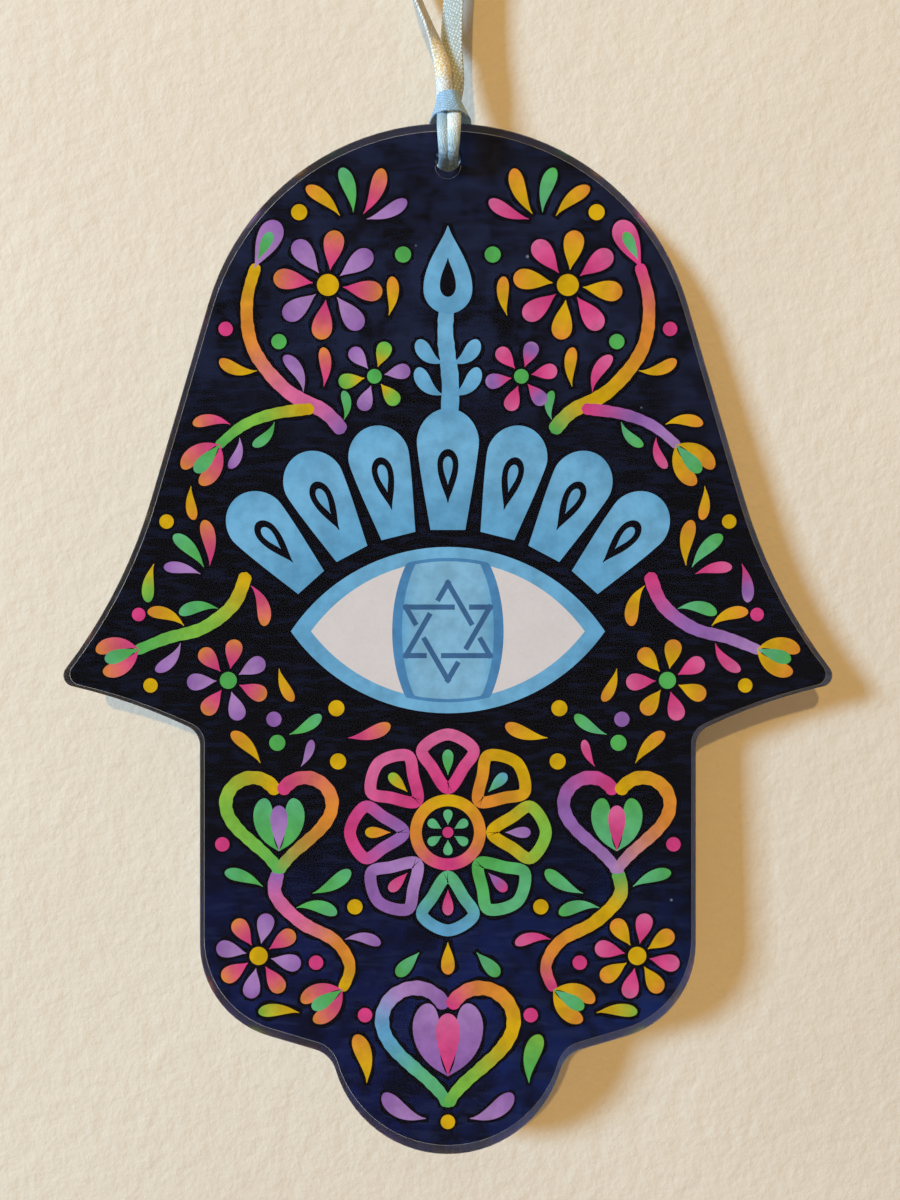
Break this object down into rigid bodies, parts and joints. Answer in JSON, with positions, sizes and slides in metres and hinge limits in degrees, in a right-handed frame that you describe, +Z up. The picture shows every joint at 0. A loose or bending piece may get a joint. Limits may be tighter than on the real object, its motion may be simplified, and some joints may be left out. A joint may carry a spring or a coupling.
{
  "type": "hamsa hand ornament",
  "caption": "Flat clear acrylic hamsa hand with a coloured print behind it, hanging from a narrow satin ribbon hitched through a hole at its top.",
  "frame": {"origin": "the nail's place, at the top inside of the ribbon's hanging loop, just under its knot", "axes": "+Z up along the hanging plate, +Y through the plate towards the wall, +X to the right as the front is seen"},
  "size_m": [0.0894, 0.0061, 0.1856],
  "materials": {
    "clear_acrylic": "gloss",
    "printed_sheet": "satin",
    "backing_sheet": "satin",
    "satin_ribbon": "satin"
  },
  "bodies": {
    "loop": {"left_tail": "satin_ribbon", "right_tail": "satin_ribbon", "top_knot": "satin_ribbon", "left_end": "satin_ribbon", "right_end": "satin_ribbon"},
    "hitch": {"ribbon_wrap": "satin_ribbon", "left_strand": "satin_ribbon", "right_strand": "satin_ribbon"},
    "plate": {"acrylic_plate": "clear_acrylic", "printed_sheet": "printed_sheet", "backing_sheet": "backing_sheet"}
  },
  "joints": [
    {"name": "hitch_fold", "type": "hinge", "parent": "loop", "child": "hitch", "pos_m": [0, 0, -0.0433], "axis": [1, 0, 0], "range_deg": [-75, 2]},
    {"name": "plate_turn", "type": "hinge", "parent": "hitch", "child": "plate", "pos_m": [0, 0, -0.05215], "axis": [0, 1, 0], "range_deg": [-15, 15]}
  ]
}
